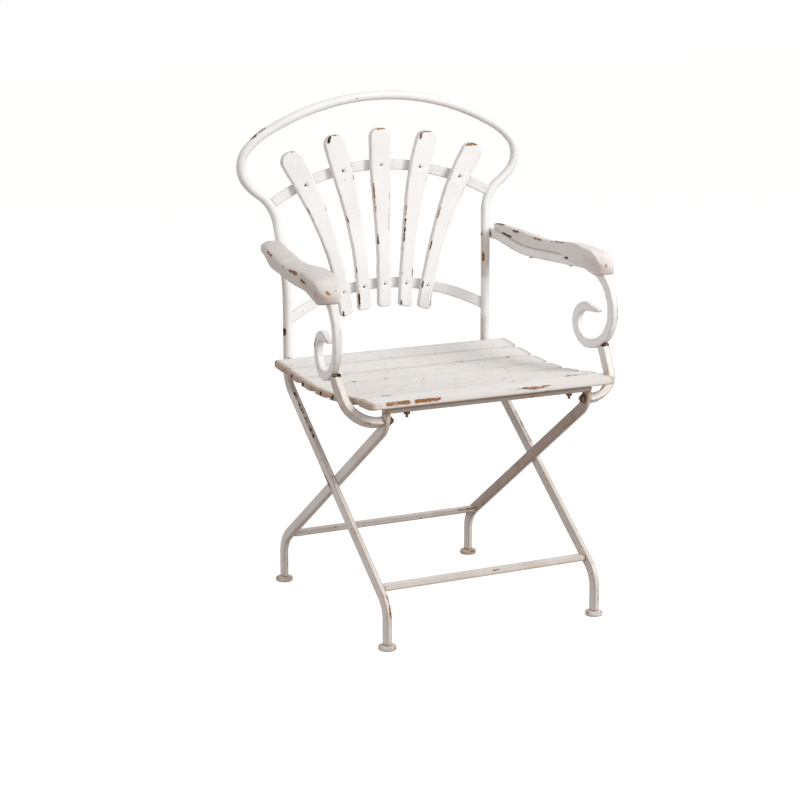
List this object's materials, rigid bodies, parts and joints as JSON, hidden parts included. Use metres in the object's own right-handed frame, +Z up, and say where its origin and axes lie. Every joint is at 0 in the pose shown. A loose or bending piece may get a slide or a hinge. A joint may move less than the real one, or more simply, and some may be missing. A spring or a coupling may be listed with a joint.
{
  "type": "garden armchair",
  "caption": "weathered garden armchair with a fanned slat back, scrolled arms and a slatted seat; cream paint peeling from wood and steel",
  "frame": {"origin": "on the floor, midway between the feet from side to side and from front to back", "axes": "+X to the right of someone facing the chair, +Y to the back of the chair, +Z up"},
  "size_m": [0.596, 0.486, 0.9292],
  "materials": {
    "painted_wood": "peeling cream paint",
    "painted_frame": "chipped cream paint over rust",
    "feet": "worn and dirty paint",
    "rusty_fixings": "rusted"
  },
  "bodies": {
    "root": {"back_frame": "painted_frame", "upper_band": "painted_frame", "lower_band": "painted_frame", "back_slat_1": "painted_wood", "back_slat_2": "painted_wood", "back_slat_3": "painted_wood", "back_slat_4": "painted_wood", "back_slat_5": "painted_wood", "back_slat_screws": "rusty_fixings", "front_leg_left": "painted_frame", "front_leg_right": "painted_frame", "rear_leg_left": "painted_frame", "rear_leg_right": "painted_frame", "front_rail": "painted_frame", "rear_rail": "painted_frame", "front_crossbar": "painted_frame", "rear_crossbar": "painted_frame", "foot_front_left": "feet", "foot_front_right": "feet", "foot_rear_left": "feet", "foot_rear_right": "feet", "seat_slat_1": "painted_wood", "seat_slat_2": "painted_wood", "seat_slat_3": "painted_wood", "seat_slat_4": "painted_wood", "seat_slat_5": "painted_wood", "seat_slat_6": "painted_wood", "seat_slat_7": "painted_wood", "seat_strap_left": "painted_frame", "seat_strap_right": "painted_frame", "seat_slat_screws": "rusty_fixings", "rail_studs": "rusty_fixings", "rail_nuts": "rusty_fixings", "arm_bar_left": "painted_frame", "arm_bar_right": "painted_frame", "armrest_left": "painted_wood", "armrest_right": "painted_wood", "armrest_screws": "rusty_fixings", "arm_bracket_left": "painted_frame", "arm_bracket_right": "painted_frame", "arm_bolts": "rusty_fixings", "bracket_bolts": "rusty_fixings", "bracket_washers": "rusty_fixings", "bracket_nuts": "rusty_fixings"}
  },
  "joints": []
}
